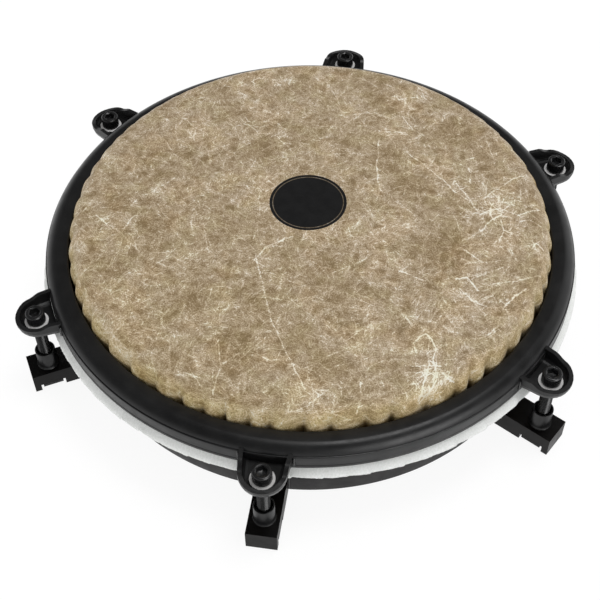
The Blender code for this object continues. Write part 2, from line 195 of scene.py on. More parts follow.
WHITE_FIBRES = (
    ((108, 14), (113, 18), (120, 21)),
    ((109, 0), (112, 6), (121, 15)),
    ((97, -42), (103, -40), (110, -49)),
    ((138, -44), (133, -50), (126, -60)),
    ((82, -87), (78, -90), (75, -95), (77, -101)),
    ((82, -87), (86, -91), (88, -98), (87, -104), (89, -110)),
    ((76, -112), (84, -110), (92, -109)),
    ((84, -111), (84, -122), (86, -137)),
    ((89, -111), (91, -122), (88, -138)),
    ((93, -114), (100, -118), (106, -120)),
)
PALE_PATCHES = (
    ((88, -122), 20, 1.0),
    ((82, -96), 14, 0.6),
    ((116, 22), 34, 0.8),
    ((98, 40), 20, 0.5),
    ((114, -52), 28, 0.7),
    ((26, -146), 26, 0.5),
    ((-15, -58), 22, 0.3),
    ((-48, 78), 26, 0.3),
    ((-68, -10), 20, 0.3),
    ((-115, -36), 18, 0.4),
)
WHITE_PATCHES = (
    ((87, -117), 9, 1.0),
    ((88, -130), 9, 1.0),
    ((98, -119), 9, 0.9),
    ((86, -110), 6, 0.7),
    ((50, -146), 5, 0.6),
    ((116, 18), 10, 0.3),
)
DARK_PATCHES = (
    ((-92, -22), 16, 1.0),
    ((-126, -8), 16, 0.8),
    ((-118, 38), 16, 0.8),
    ((-38, 58), 16, 0.7),
    ((64, 34), 22, 0.7),
    ((86, -22), 24, 0.9),
    ((126, -22), 14, 0.8),
    ((85, 86), 26, 0.8),
    ((38, 112), 18, 0.6),
    ((-58, -82), 18, 0.6),
    ((-24, -117), 24, 0.9),
    ((24, -118), 16, 0.6),
    ((18, -46), 20, 0.5),
)


def arc(centre, radius, start, end, steps):
    """Points on an arc, both ends included, angles in degrees."""
    points = []
    for step in range(steps + 1):
        angle = math.radians(start + (end - start) * step / steps)
        points.append((centre[0] + radius * math.cos(angle), centre[1] + radius * math.sin(angle)))
    return points


def value_at(size, turn):
    return size(turn) if callable(size) else size


def stack(rows, segments, closed=False):
    """Rings of points from top to bottom. A row is (radius, height), and each may depend on the turn."""
    points, rings, faces = [], [], []
    for radius, height in rows:
        if radius == 0:
            rings.append([len(points)] * segments)
            points.append((0.0, 0.0, height))
            continue
        rings.append(list(range(len(points), len(points) + segments)))
        for index in range(segments):
            turn = 2 * math.pi * index / segments
            out = value_at(radius, turn)
            points.append((out * math.cos(turn), out * math.sin(turn), value_at(height, turn)))
    pairs = list(zip(rings, rings[1:]))
    if closed:
        pairs.append((rings[-1], rings[0]))
    for upper, lower in pairs:
        for index in range(segments):
            after = (index + 1) % segments
            corners = [upper[index], lower[index], lower[after], upper[after]]
            faces.append(tuple(dict.fromkeys(corners)))
    return points, faces


def add_piece(name, shape, body, material, place=None, sharp=35):
    """Link a mesh of (points, faces), shade it, and let it ride on a body."""
    points, faces = shape
    mesh = bpy.data.meshes.new(name)
    mesh.from_pydata(points, [], faces)
    if place is not None:
        mesh.transform(place)
    mesh.shade_smooth()
    mesh.set_sharp_from_angle(angle=math.radians(sharp))
    mesh.materials.append(material)
    piece = bpy.data.objects.new(name, mesh)
    bpy.context.scene.collection.objects.link(piece)
    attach(piece, body)
    return piece


def lug_place(number):
    """The lug's own frame: Z on the bolt's axis, X away from the drum."""
    low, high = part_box(f"tension_bolt_{number}")
    x, y = (low.x + high.x) / 2, (low.y + high.y) / 2
    return Matrix.Translation((x, y, 0.0)) @ Matrix.Rotation(math.atan2(y, x), 4, "Z")


class Looks:
    """Short calls for the nodes of one material."""

    def __init__(self, name, roughness, specular=0.5, metallic=0.0):
        self.material = bpy.data.materials.new(name)
        self.material.use_nodes = True
        self.nodes = self.material.node_tree.nodes
        self.links = self.material.node_tree.links
        self.shader = self.nodes["Principled BSDF"]
        self.shader.inputs["Roughness"].default_value = roughness
        self.shader.inputs["Specular IOR Level"].default_value = specular
        self.shader.inputs["Metallic"].default_value = metallic
        self.place = self.nodes.new("ShaderNodeTexCoord").outputs["Object"]

    def set(self, socket, value):
        if isinstance(value, bpy.types.NodeSocket):
            self.links.new(value, socket)
        elif isinstance(value, tuple) and socket.type == "RGBA":
            socket.default_value = (*value, 1.0)
        else:
            socket.default_value = value

    def math(self, operation, *values):
        node = self.nodes.new("ShaderNodeMath")
        node.operation = operation
        for socket, value in zip(node.inputs, values):
            self.set(socket, value)
        return node.outputs["Value"]

    def vector(self, operation, *values, scale=None):
        node = self.nodes.new("ShaderNodeVectorMath")
        node.operation = operation
        for socket, value in zip(node.inputs, values):
            self.set(socket, value)
        if scale is not None:
            self.set(node.inputs["Scale"], scale)
        plain = operation in ("LENGTH", "DOT_PRODUCT", "DISTANCE")
        return node.outputs["Value" if plain else "Vector"]

    def noise(self, vector, scale, detail=2.0, roughness=0.5, distortion=0.0, color=False):
        node = self.nodes.new("ShaderNodeTexNoise")
        self.set(node.inputs["Vector"], vector)
        node.inputs["Scale"].default_value = scale
        node.inputs["Detail"].default_value = detail
        node.inputs["Roughness"].default_value = roughness
        node.inputs["Distortion"].default_value = distortion
        return node.outputs["Color" if color else "Fac"]

    def felt(self, vector, scale):
        """A ridged noise: a net of fine threads, from about 1 to 2.5."""
        node = self.nodes.new("ShaderNodeTexNoise")
        node.noise_type = "RIDGED_MULTIFRACTAL"
        self.set(node.inputs["Vector"], vector)
        for name, value in (("Scale", scale), ("Detail", 6.0), ("Roughness", 0.8), ("Offset", 0.9), ("Gain", 3.0)):
            node.inputs[name].default_value = value
        return node.outputs["Fac"]

    def step(self, value, low, high, start=0.0, end=1.0):
        """A smooth step of the value from start to end."""
        node = self.nodes.new("ShaderNodeMapRange")
        node.interpolation_type = "SMOOTHSTEP"
        node.clamp = False
        self.set(node.inputs["Value"], value)
        node.inputs["From Min"].default_value = low
        node.inputs["From Max"].default_value = high
        node.inputs["To Min"].default_value = start
        node.inputs["To Max"].default_value = end
        return node.outputs["Result"]

    def mix(self, factor, first, second):
        node = self.nodes.new("ShaderNodeMix")
        node.data_type = "RGBA"
        self.set(node.inputs["Factor"], factor)
        self.set(node.inputs["A"], first)
        self.set(node.inputs["B"], second)
        return node.outputs["Result"]

    def times(self, factor, color, tint):
        """The colour multiplied by a tint, as far as the factor says."""
        node = self.nodes.new("ShaderNodeMix")
        node.data_type = "RGBA"
        node.blend_type = "MULTIPLY"
        self.set(node.inputs["Factor"], factor)
        self.set(node.inputs["A"], color)
        self.set(node.inputs["B"], tint)
        return node.outputs["Result"]

    def ramp(self, value, stops):
        """A colour for each value, from (place, colour) stops."""
        node = self.nodes.new("ShaderNodeValToRGB")
        self.set(node.inputs["Fac"], value)
        elements = node.color_ramp.elements
        while len(elements) < len(stops):
            elements.new(0.5)
        for element, (position, color) in zip(elements, stops):
            element.position = position
            element.color = (*color, 1.0)
        return node.outputs["Color"]

    def folded(self, operation, values):
        result = values[0]
        for value in values[1:]:
            result = self.math(operation, result, value)
        return result

    def total(self, *values):
        return self.folded("ADD", values)

    def product(self, *values):
        return self.folded("MULTIPLY", values)

    def most(self, *values):
        return self.folded("MAXIMUM", values)

    def turned(self, vector, angle, scale, shift):
        """The vector turned about Z, then stretched and shifted."""
        turn = self.nodes.new("ShaderNodeVectorRotate")
        turn.rotation_type = "Z_AXIS"
        self.set(turn.inputs["Vector"], vector)
        turn.inputs["Angle"].default_value = angle
        return self.vector("MULTIPLY_ADD", turn.outputs["Vector"], scale, shift)

    def bump(self, height, distance, strength):
        node = self.nodes.new("ShaderNodeBump")
        node.inputs["Strength"].default_value = strength
        node.inputs["Distance"].default_value = distance
        self.set(node.inputs["Height"], height)
        self.links.new(node.outputs["Normal"], self.shader.inputs["Normal"])

    def finish(self, color, roughness=None):
        self.set(self.shader.inputs["Base Color"], color)
        if roughness is not None:
            self.set(self.shader.inputs["Roughness"], roughness)
        return self.material


def coat(name, dark, light, roughness, specular, grain, grain_depth):
    """Powder coat or oxide: soft tone changes, fine grain in the gloss and the surface, a little dust."""
    looks = Looks(name, roughness, specular)
    cloud = looks.noise(looks.place, 38.0, 4.0, 0.6)
    color = looks.mix(looks.step(cloud, 0.35, 0.65), dark, light)
    specks = looks.noise(looks.place, grain * 1.7, 1.0)
    dust = tuple(channel * 2.6 for channel in light)
    color = looks.mix(looks.step(specks, 0.70, 0.78), color, dust)
    gloss = looks.noise(looks.place, 90.0, 5.0, 0.65)
    peel = looks.noise(looks.place, grain, 3.0, 0.55)
    looks.bump(peel, grain_depth, 0.35)
    return looks.finish(color, looks.step(gloss, 0.3, 0.7, roughness - 0.06, roughness + 0.07))


def plain_stuff(name, dark, light, roughness, grain, grain_depth, metallic=0.0):
    """Nylon, rubber or bare metal: mottled, with a fine grain."""
    looks = Looks(name, roughness, 0.5, metallic)
    cloud = looks.noise(looks.place, 160.0, 3.0, 0.6)
    gloss = looks.noise(looks.place, 420.0, 3.0, 0.6)
    looks.bump(looks.noise(looks.place, grain, 2.0), grain_depth, 0.4)
    rough = looks.step(gloss, 0.3, 0.7, roughness - 0.06, roughness + 0.06)
    return looks.finish(looks.mix(looks.step(cloud, 0.35, 0.65), dark, light), rough)


def wiggly(looks, vector, scale, amount):
    """The vector pushed about in its plane by two noises, so that what is laid on it curls."""
    ways = []
    for place in (vector, looks.vector("ADD", vector, (0.0, 0.0, 0.35))):
        ways.append(looks.math("MULTIPLY_ADD", looks.noise(place, scale, 3.0, 0.5), amount, -0.5 * amount))
    push = looks.nodes.new("ShaderNodeCombineXYZ")
    looks.set(push.inputs["X"], ways[0])
    looks.set(push.inputs["Y"], ways[1])
    return looks.vector("ADD", vector, push.outputs["Vector"])


def scattered(looks, vector, size, shift):
    """A random centre in each cell of the plane: the way to it turned at random, and a random number."""
    moved = looks.vector("ADD", vector, shift)
    cells = looks.nodes.new("ShaderNodeTexVoronoi")
    cells.voronoi_dimensions = "2D"
    looks.set(cells.inputs["Vector"], moved)
    cells.inputs["Scale"].default_value = 1 / size
    chances = looks.nodes.new("ShaderNodeSeparateColor")
    looks.links.new(cells.outputs["Color"], chances.inputs["Color"])
    away = looks.vector("SUBTRACT", moved, cells.outputs["Position"])
    angle = looks.product(chances.outputs[0], 2 * math.pi)
    turn = looks.nodes.new("ShaderNodeVectorRotate")
    turn.rotation_type = "Z_AXIS"
    looks.set(turn.inputs["Vector"], away)
    looks.set(turn.inputs["Angle"], angle)
    return turn.outputs["Vector"], chances.outputs[1], chances.outputs[2]


def tufts(looks, vector, count, size, along, across, low, high, seed):
    """Short parallel hairs in each cell, another way in the next cell, in several layers."""
    most = 0.0
    for index in range(count):
        cell = size * (0.8 + 0.45 * (0.618 * index % 1.0))
        shift = (0.37 * index + seed, 0.71 * index - seed, 0.0)
        away, _, chance = scattered(looks, vector, cell, shift)
        place = looks.vector("MULTIPLY_ADD", away, (along, across, 1.0), (3.1 * index, 7.7 * index, index))
        hairs = looks.step(looks.noise(place, 1.0, 2.0, 0.6), low, high)
        most = looks.math("MAXIMUM", most, looks.product(hairs, looks.step(chance, 0.0, 0.6)))
    return most


def fibres(looks, vector, count, size, width, bend, haze, seed):
    """One bent fibre in each cell, in several layers, each fibre with a soft haze along it."""
    most = 0.0
    for index in range(count):
        cell = size * (0.7 + 0.6 * (0.618 * index % 1.0))
        shift = (0.37 * index + seed, 0.71 * index - seed, 0.0)
        away, curl, chance = scattered(looks, vector, cell, shift)
        split = looks.nodes.new("ShaderNodeSeparateXYZ")
        looks.links.new(away, split.inputs["Vector"])
        along, across = split.outputs["X"], split.outputs["Y"]
        bow = looks.product(along, along, looks.math("MULTIPLY_ADD", curl, bend, -0.5 * bend))
        away = looks.math("ABSOLUTE", looks.math("ADD", across, bow))
        line = looks.step(away, 0.2 * width, width, 1.0 - haze, 0.0)
        glow = looks.step(away, 0.0, 4 * width, haze, 0.0)
        length = looks.step(looks.math("ABSOLUTE", along), 0.3 * cell, 0.6 * cell, 1.0, 0.0)
        layer = looks.product(looks.math("ADD", line, glow), length, looks.step(chance, 0.0, 1.0))
        most = looks.math("MAXIMUM", most, layer)
    return most


def patches(looks, vector, places):
    """Soft spots at chosen places, given in millimetres."""
    most = 0.0
    for (x, y), size, strength in places:
        away = looks.vector("DISTANCE", vector, (x * MM, y * MM, 0.0))
        most = looks.math("MAXIMUM", most, looks.step(away, 0.1 * size * MM, size * MM, strength, 0.0))
    return most


def long_fibres(looks, vector, chains, width):
    """Single fibres that stand out, each a chain of straight lengths in wiggly coordinates."""
    most = 0.0
    for chain in chains:
        for start, end in zip(chain, chain[1:]):
            begin = Vector((*start, 0.0)) * MM
            along = Vector((*end, 0.0)) * MM - begin
            unit = tuple(along.normalized())
            from_start = looks.vector("SUBTRACT", vector, tuple(begin))
            share = looks.vector("DOT_PRODUCT", from_start, unit)
            held = looks.math("MINIMUM", looks.math("MAXIMUM", share, 0.0), along.length)
            away = looks.vector("DISTANCE", from_start, looks.vector("SCALE", unit, scale=held))
            most = looks.math("MAXIMUM", most, looks.step(away, 0.15 * width, width, 1.0, 0.0))
    return most


def film_material():
    """Felt-like pale hairs in tan film with painted shade towards the front, painted light on the collar and painted
    shade in its folds and gap, a grey-white skirt with painted shade in its creases, and a black dot.
    """
    looks = Looks("film_fibres", 0.5, 0.3)
    split = looks.nodes.new("ShaderNodeSeparateXYZ")
    looks.links.new(looks.place, split.inputs["Vector"])
    height = split.outputs["Z"]
    level = looks.vector("MULTIPLY", looks.place, (1.0, 1.0, 0.0))
    radius = looks.vector("LENGTH", level)
    drop = looks.math("SUBTRACT", HEAD_TOP, height)
    unfold = looks.math("DIVIDE", looks.math("ADD", radius, drop), radius)
    sheet = looks.vector("SCALE", level, scale=unfold)
    curly = wiggly(looks, sheet, 200.0, 1.5 * MM)
    bent = wiggly(looks, sheet, 60.0, 5.0 * MM)

    felt = looks.felt(wiggly(looks, sheet, 60.0, 8.0 * MM), 110.0)
    cloud = looks.noise(wiggly(looks, sheet, 26.0, 22.0 * MM), 26.0, 6.0, 0.74)
    grain = looks.noise(sheet, 1200.0, 2.0, 0.8)
    fine = tufts(looks, curly, 3, 6.5 * MM, 130.0, 1050.0, 0.44, 0.72, 0.0)
    coarse = tufts(looks, bent, 3, 16.0 * MM, 50.0, 520.0, 0.50, 0.74, 2.0)
    kept = looks.step(looks.noise(sheet, 30.0, 4.0, 0.65), 0.40, 0.58)
    single = fibres(looks, bent, 7, 24.0 * MM, 0.36 * MM, 25.0, 0.2, 5.0)
    veil = fibres(looks, wiggly(looks, sheet, 40.0, 10.0 * MM), 5, 40.0 * MM, 1.3 * MM, 12.0, 0.35, 9.0)
    worn = looks.step(looks.noise(sheet, 90.0, 3.0, 0.6), 0.32, 0.60)
    pale = patches(looks, bent, PALE_PATCHES)
    dark = patches(looks, bent, DARK_PATCHES)
    white = patches(looks, bent, WHITE_PATCHES)
    wavy = wiggly(looks, wiggly(looks, sheet, 90.0, 4.0 * MM), 420.0, 1.4 * MM)
    fibre = long_fibres(looks, wavy, LONG_FIBRES, 0.75 * MM)
    strong = long_fibres(looks, wavy, WHITE_FIBRES, 0.85 * MM)
    tone = looks.total(
        -1.40,
        looks.product(felt, 0.20),
        looks.product(cloud, 0.95),
        looks.product(grain, 1.75),
        looks.product(fine, 0.38),
        looks.product(coarse, looks.math("MAXIMUM", kept, pale), 0.32),
        looks.product(single, worn, 0.36),
        looks.product(veil, worn, 0.22),
        looks.product(looks.math("MAXIMUM", fibre, strong), looks.math("MULTIPLY_ADD", worn, 0.6, 0.4), 0.45),
        looks.product(strong, 0.18),
        looks.product(pale, 0.03),
        looks.product(pale, looks.most(fine, coarse, single), 0.36),
        looks.product(white, looks.math("MULTIPLY_ADD", looks.most(fine, coarse, single), 0.6, 0.12)),
        looks.product(dark, -0.16),
    )
    color = looks.ramp(tone, FILM_TONES)
    rosy = looks.step(looks.noise(sheet, 28.0, 4.0, 0.6), 0.48, 0.62)
    color = looks.times(rosy, color, (1.005, 0.965, 0.90))
    olive = looks.step(looks.noise(looks.vector("ADD", sheet, (0.0, 0.0, 0.7)), 60.0, 3.0, 0.6), 0.45, 0.65)
    color = looks.times(olive, color, (0.985, 1.0, 0.93))
    murky = looks.step(looks.total(cloud, looks.product(dark, -0.15)), 0.60, 0.36)
    color = looks.times(murky, color, (1.0, 0.985, 0.93))
    # Painted shade: the film is toned a little darker and yellower towards the front-left.
    painted_front_shade = looks.step(looks.vector("DOT_PRODUCT", sheet, (-0.45, -0.9, 0.0)), 10.0 * MM, 150.0 * MM)
    color = looks.times(painted_front_shade, color, (0.99, 0.985, 0.945))

    # Painted light: the collar is brightened and yellowed from the crown's edge down to 9 mm below it, less on the
    # palest tones.
    side = looks.product(looks.step(drop, 0.5 * MM, 9.0 * MM), looks.step(tone, 1.0, 0.65))
    color = looks.times(side, color, (1.36, 1.38, 1.21))
    # Painted shade: the valleys of the pleats, from 12 to 18 mm below the crown on down, are darkened to brown.
    valley = looks.nodes.new("ShaderNodeAttribute")
    valley.attribute_name = "valley"
    low_side = looks.step(drop, 12.0 * MM, 18.0 * MM)
    shade = looks.product(looks.step(valley.outputs["Fac"], 0.25, 0.8), low_side, 0.8)
    color = looks.mix(shade, color, (0.13, 0.075, 0.02))
    # Painted shade: the collar deep in the gap under the rim, 18 to 25 mm below the crown, is darkened to the film's
    # amber brown.
    deep = looks.step(drop, 18.0 * MM, 25.0 * MM, 0.0, 0.9)
    color = looks.mix(deep, color, (0.10, 0.055, 0.015))

    # Painted shade: darker grey vertical streaks on the skirt stand for the shade in its creases.
    crease = looks.turned(looks.place, 0.0, (900.0, 900.0, 60.0), (0.0, 0.0, 0.0))
    painted_crease_shade = looks.step(looks.noise(crease, 1.0, 3.0, 0.6), 0.30, 0.72)
    skirt = looks.mix(painted_crease_shade, (0.85, 0.87, 0.84), (0.97, 0.98, 0.97))
    color = looks.mix(looks.step(radius, HOOP_HIGH.x - 2 * MM, HOOP_HIGH.x), color, skirt)

    from_dot = looks.vector("DISTANCE", level, (*DOT_PLACE, 0.0))
    on_top = looks.step(height, HEAD_TOP - 0.3 * MM, HEAD_TOP - 0.2 * MM)
    dot = looks.product(looks.step(from_dot, DOT_RADIUS - 0.15 * MM, DOT_RADIUS, 1.0, 0.0), on_top)
    ring_gap = looks.math("ABSOLUTE", looks.math("SUBTRACT", from_dot, DOT_RADIUS - DOT_RING))
    ring = looks.step(ring_gap, DOT_RING_WIDTH * 0.4, DOT_RING_WIDTH * 0.7, 1.0, 0.0)
    ink = looks.math("SUBTRACT", dot, looks.product(ring, 0.35))
    color = looks.mix(looks.math("MAXIMUM", ink, 0.0), color, (0.004, 0.004, 0.0042))

    looks.bump(looks.total(grain, cloud), 0.06 * MM, 0.5)
    gloss = looks.noise(sheet, 130.0, 4.0, 0.6)
    return looks.finish(color, looks.step(gloss, 0.3, 0.7, 0.42, 0.56))


def make_rim(material):
    """The counterhoop: inner lip, flat crest, round shoulder, groove, and a band with a hem."""
    centre = (RIM_OUTER - SHOULDER_INSET, RIM_HIGH.z - SHOULDER)
    rows = arc((RIM_INNER + RIM_LIP, RIM_LIP_TOP - RIM_LIP), RIM_LIP, 180, 92, 6)
    rows += arc(centre, SHOULDER, 86, 27, 16)
    groove_wall = RIM_OUTER - GROOVE_DEPTH
    rows += [
        (groove_wall + 0.25 * MM, BAND_TOP + GROOVE_WIDTH),
        (groove_wall, BAND_TOP + GROOVE_WIDTH / 2),
        (groove_wall + 0.15 * MM, BAND_TOP + 0.1 * MM),
    ]
    rows += arc((RIM_OUTER - BAND_EDGE, BAND_TOP - BAND_EDGE), BAND_EDGE, 95, 0, 4)
    hem_top = BAND_FOOT + HEM_HEIGHT
    rows += [
        (RIM_OUTER - 0.1 * MM, (BAND_TOP + hem_top) / 2),
        (RIM_OUTER, hem_top + 0.5 * MM),
        (RIM_OUTER - HEM_DEPTH, hem_top + 0.1 * MM),
        (RIM_OUTER - HEM_DEPTH, hem_top - 0.1 * MM),
        (RIM_OUTER, hem_top - 0.5 * MM),
    ]
    rows += arc((RIM_OUTER - 2 * BAND_EDGE, BAND_FOOT + 2 * BAND_EDGE), 2 * BAND_EDGE, 0, -90, 5)
    rows += [(RIM_OUTER - RIM_WALL, BAND_FOOT + 0.2 * MM)]
    rows += arc(centre, SHOULDER - RIM_WALL, 0, 84, 8)
    rows += [
        (RIM_INNER + RIM_WALL, RIM_LIP_TOP - RIM_WALL),
        (RIM_INNER + RIM_WALL, RIM_LEG_FOOT),
        (RIM_INNER, RIM_LEG_FOOT),
    ]
    rim = add_piece("rim_skin", stack(rows, RIM_SEGMENTS, True), "rim", material)
    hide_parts("counterhoop")


def make_ring(material):
    """The shell ring: rolled bearing edge, wall, taper and foot, with rounded edges."""
    foot = RING_HIGH.x
    roll = (RING_TOP_RADIUS - RING_ROLL, RING_HIGH.z - RING_ROLL)
    lip_z = roll[1] - RING_LIP
    rows = [(roll[0] - RING_ROLL, lip_z)]
    rows += arc(roll, RING_ROLL, 180, 0, 16)
    rows += [(RING_TOP_RADIUS, RING_TAPER_TOP + 2 * MM), (RING_TOP_RADIUS + 0.15 * MM, RING_TAPER_TOP)]
    rows += [(foot - 0.25 * MM, RING_FOOT_HEIGHT + 1.5 * MM), (foot, RING_FOOT_HEIGHT - 1.5 * MM)]
    rows += arc((foot - RING_EDGE, RING_EDGE), RING_EDGE, 0, -90, 3)
    rows += arc((foot - RING_WALL + RING_EDGE, RING_EDGE), RING_EDGE, -90, -180, 3)
    rows += [
        (foot - RING_WALL, RING_FOOT_HEIGHT),
        (RING_TOP_RADIUS - RING_WALL, RING_TAPER_TOP),
    ]
    rows += arc(roll, RING_ROLL - RING_WALL, 0, 180, 12)
    rows.append((roll[0] - RING_ROLL + RING_WALL, lip_z))
    ring = add_piece("ring_skin", stack(rows, 256, True), "base", material)
    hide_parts("shell_ring")


class Pleats:
    """Uneven pleats round the collar, each a short rise and a long fall: how deep the valley is, 0 on a peak."""

    def __init__(self, count, chance):
        widths = [chance.uniform(0.7, 1.35) for _ in range(count)]
        self.edges = [0.0]
        for width in widths:
            self.edges.append(self.edges[-1] + width * 2 * math.pi / sum(widths))
        self.depths = [chance.uniform(0.55, 1.0) for _ in range(count)]
        self.peaks = [chance.uniform(0.20, 0.42) for _ in range(count)]

    def valley(self, turn):
        index = min(bisect_right(self.edges, turn), len(self.depths)) - 1
        share = (turn - self.edges[index]) / (self.edges[index + 1] - self.edges[index])
        peak = self.peaks[index]
        rise = share / peak if share < peak else (1 - share) / (1 - peak)
        before = self.depths[index - 1] if share < peak else self.depths[index]
        return before * (1 - math.sin(math.pi / 2 * rise))


class TornEdge:
    """The skirt's lower edge: pieces of 8 to 20 mm that slope down, each ending in a small step up."""

    def __init__(self, radius, chance):
        self.edges, self.starts, self.ends = [0.0], [], []
        while self.edges[-1] < 2 * math.pi:
            self.edges.append(self.edges[-1] + chance.uniform(7, 20) * MM / radius)
            self.starts.append(chance.uniform(0.35, 1.0))
            self.ends.append(chance.uniform(0.0, 0.4))
        self.edges[-1] = 2 * math.pi

    def rise(self, turn):
        index = min(bisect_right(self.edges, turn), len(self.starts)) - 1
        share = (turn - self.edges[index]) / (self.edges[index + 1] - self.edges[index])
        return self.starts[index] + (self.ends[index] - self.starts[index]) * share


def make_head(material):
    """One sheet: flat crown, pleated collar, fold under the hoop, and the torn skirt outside."""
    chance = random.Random(SEED)
    pleats = Pleats(PLEAT_COUNT, chance)
    torn = TornEdge(SKIRT_EDGE_RADIUS, chance)

    def fluted(radius, share):
        return lambda turn: radius + share * (PLEAT_PROUD - PLEAT_DEPTH * pleats.valley(turn))

    def creased(radius, share):
        def out(turn):
            ripple = noise.noise((190 * math.cos(turn), 190 * math.sin(turn), radius * 900))
            fold = noise.noise((34 * math.cos(turn), 34 * math.sin(turn), 5.0))
            return radius + share * SKIRT_CREASE * (0.6 * ripple + 0.7 * fold - 0.7)
        return out

    def ragged(height, share):
        def level(turn):
            bits = noise.noise((420 * math.cos(turn), 420 * math.sin(turn), 2.0))
            return height + share * (SKIRT_RAG * torn.rise(turn) + 0.18 * MM * (1 + bits))
        return level

    rows = [(0, HEAD_TOP, 0.0)]
    rows += [(radius * MM, HEAD_TOP, 0.0) for radius in (30, 60, 90, 115, 132, 141)]
    centre = (COLLAR_RADIUS - CROWN_ROUNDING, HEAD_TOP - CROWN_ROUNDING)
    for angle in range(90, -1, -9):
        share = max(0.0, (PLEAT_START - angle) / PLEAT_START) ** 1.7 * 0.5
        point = arc(centre, CROWN_ROUNDING, angle, angle, 1)[0]
        rows.append((fluted(point[0], share), point[1], share))
    steps = 12
    for step in range(1, steps + 1):
        height = centre[1] + (COLLAR_FOOT - centre[1]) * (step / steps) ** 1.25
        fallen = min(1.0, (HEAD_TOP - height - CROWN_ROUNDING) / PLEAT_FULL_DROP)
        share = 0.5 + 0.5 * math.sin(fallen * math.pi / 2)
        rows.append((fluted(COLLAR_RADIUS, share), height, share))
    foot = HEAD_LOW.z
    rows += [
        (fluted(COLLAR_RADIUS + 0.8 * MM, 0.7), foot + 1.2 * MM, 0.7),
        (COLLAR_RADIUS + 4.2 * MM, foot + 0.1 * MM, 0.0),
        (COLLAR_RADIUS + 6.5 * MM, foot, 0.0),
        (SKIRT_EDGE_RADIUS - 6.0 * MM, foot, 0.0),
        (creased(SKIRT_EDGE_RADIUS - 2.4 * MM, 0.5), ragged(foot, 0.7), 0.0),
        (creased(SKIRT_EDGE_RADIUS - 0.3 * MM, 1.0), ragged(foot, 1.0), 0.0),
        (creased(SKIRT_EDGE_RADIUS, 1.0), ragged(foot + 0.35 * MM, 0.9), 0.0),
        (creased(SKIRT_EDGE_RADIUS, 1.0), ragged(foot + 1.0 * MM, 0.7), 0.0),
        (creased(SKIRT_EDGE_RADIUS - 0.7 * MM, 1.0), ragged(foot + 2.0 * MM, 0.3), 0.0),
        (creased(SKIRT_EDGE_RADIUS - 2.4 * MM, 0.9), foot + 3.3 * MM, 0.0),
        (creased(SKIRT_EDGE_RADIUS - 4.6 * MM, 0.6), foot + 4.6 * MM, 0.0),
        (TAIL_RADIUS + 0.3 * MM, foot + 5.7 * MM, 0.0),
        (TAIL_RADIUS, foot + 6.6 * MM, 0.0),
        (TAIL_RADIUS, TAIL_TOP, 0.0),
    ]
    shape = stack([row[:2] for row in rows], HEAD_SEGMENTS)
    head = add_piece("head_skin", shape, "base", material, sharp=50)
    # Valley depth at each point; the film material darkens the valleys with it as painted shade.
    valleys = [pleats.valley(2 * math.pi * index / HEAD_SEGMENTS) for index in range(HEAD_SEGMENTS)]
    depth = [0.0]
    for row in rows[1:]:
        depth += [row[2] * valley for valley in valleys]
    head.data.attributes.new("valley", "FLOAT", "POINT").data.foreach_set("value", depth)
    thickness = head.modifiers.new("thickness", "SOLIDIFY")
    thickness.thickness = FILM_THICKNESS
    thickness.offset = -1.0
    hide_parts("head_film")


def hexagon(radius):
    """Radius of a hexagon, given to its corners, at a turn."""
    def out(turn):
        corner = turn % (math.pi / 3) - math.pi / 6
        return radius * math.cos(math.pi / 6) / math.cos(corner)
    return out


def screw_shape():
    """Cap screw: chamfered head with a fine knurl, hexagon socket, and a cut thread down to the tip."""
    head = (BOLT_HIGH.x - BOLT_LOW.x) / 2
    top, tip = BOLT_HIGH.z, BOLT_LOW.z
    seat = top - SCREW_HEAD_HEIGHT
    socket = SCREW_SOCKET / 2 / math.cos(math.pi / 6)
    floor = top - SCREW_SOCKET_DEPTH

    def knurled(turn):
        return head - SCREW_KNURL * (1 + math.cos(SCREW_TEETH * turn)) / 2

    rows = [
        (0, floor - 0.6 * MM),
        (hexagon(socket * 0.72), floor - 0.1 * MM),
        (hexagon(socket * 0.98), floor),
        (hexagon(socket), floor + 0.1 * MM),
        (hexagon(socket), top - SCREW_SOCKET_CHAMFER),
        (socket + SCREW_SOCKET_CHAMFER * 0.6, top - 0.06 * MM),
        (socket + SCREW_SOCKET_CHAMFER, top),
    ]
    rows += [(head - SCREW_CHAMFER * 1.1, top), (head - SCREW_CHAMFER * 0.85, top - 0.08 * MM)]
    rows += [(head - 0.1 * MM, top - SCREW_CHAMFER * 0.9), (head, top - SCREW_CHAMFER * 1.25)]
    rows += [(knurled, top - 1.7 * MM), (knurled, seat + 1.2 * MM)]
    rows += [(head, seat + 0.8 * MM), (head - 0.05 * MM, seat + 0.3 * MM), (head - 0.35 * MM, seat)]
    shank = SCREW_SHANK / 2
    rows += [(shank, seat), (shank, seat - 1.0 * MM)]

    def threaded(height):
        def out(turn):
            place = (height / THREAD_PITCH - turn / (2 * math.pi)) % 1.0
            near_tip = max(0.0, 1 - (height - tip) / THREAD_PITCH)
            return shank - THREAD_DEPTH * (1 - abs(2 * place - 1)) - 0.8 * MM * near_tip
        return out

    count = int((seat - 2.0 * MM - tip) / THREAD_PITCH * THREAD_ROWS_PER_TURN)
    for step in range(count + 1):
        height = seat - 2.0 * MM + (tip - seat + 2.0 * MM) * step / count
        rows.append((threaded(height), height))
    rows.append((0, tip))
    return stack(rows, 48)


def washer_shape():
    radius = (WASHER_HIGH.x - WASHER_LOW.x) / 2
    high, low = WASHER_HIGH.z, WASHER_LOW.z
    edge = (high - low) * 0.3
    rows = [(HOLE_RADIUS + edge, high), (radius - edge, high), (radius, high - edge), (radius, low + edge)]
    rows += [(radius - edge, low), (HOLE_RADIUS + edge, low), (HOLE_RADIUS, low + edge)]
    rows.append((HOLE_RADIUS, high - edge))
    return stack(rows, 64, True)


